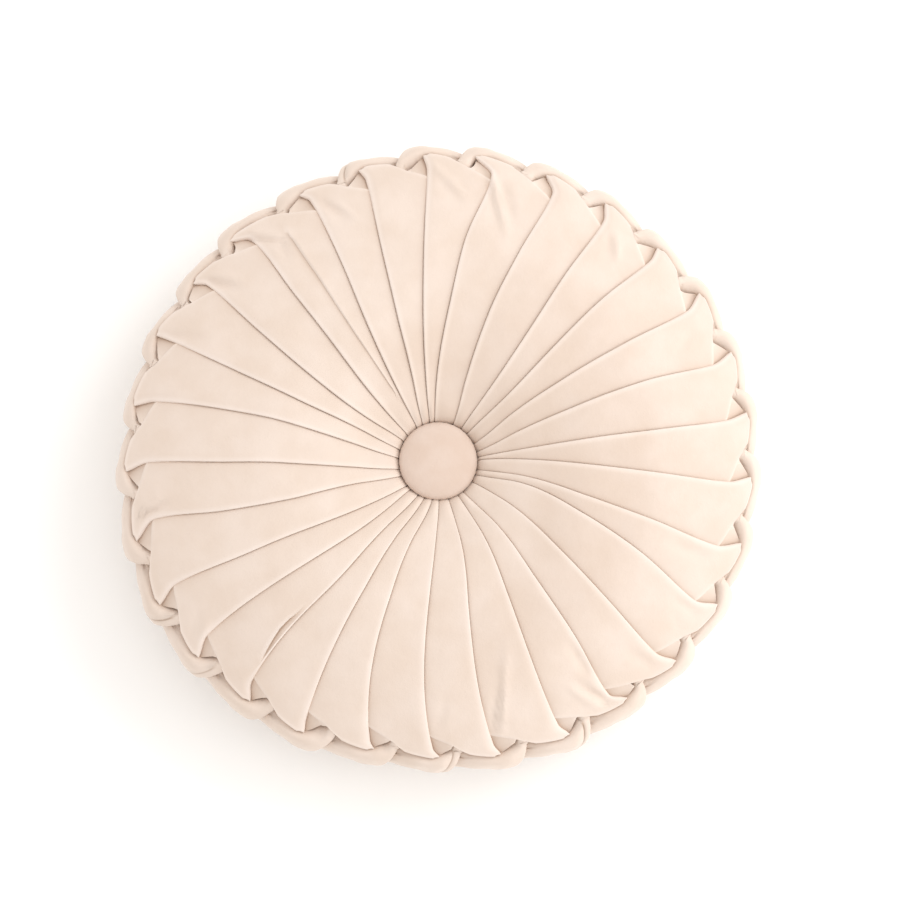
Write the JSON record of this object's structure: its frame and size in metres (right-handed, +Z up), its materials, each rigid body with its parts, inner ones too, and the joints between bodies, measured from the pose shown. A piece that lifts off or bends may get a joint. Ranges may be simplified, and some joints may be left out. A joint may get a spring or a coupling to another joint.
{
  "type": "round pleated cushion",
  "caption": "Round filled velvet cushion with leaning knife pleats gathered to a covered button, and a smocked rim of slanted puffed bands.",
  "frame": {"origin": "middle of the outline on the surface that the cushion's back lies on", "axes": "+Z up out of the face with the front button, +Y towards the top of the cushion as it is displayed, +X to the right as the face is seen"},
  "size_m": [0.3724, 0.3593, 0.1039],
  "materials": {
    "velvet": "matte cut pile",
    "button_velvet": "matte cut pile, stretched"
  },
  "bodies": {
    "root": {"cover": "velvet", "button_front": "button_velvet", "button_back": "button_velvet"}
  },
  "joints": []
}
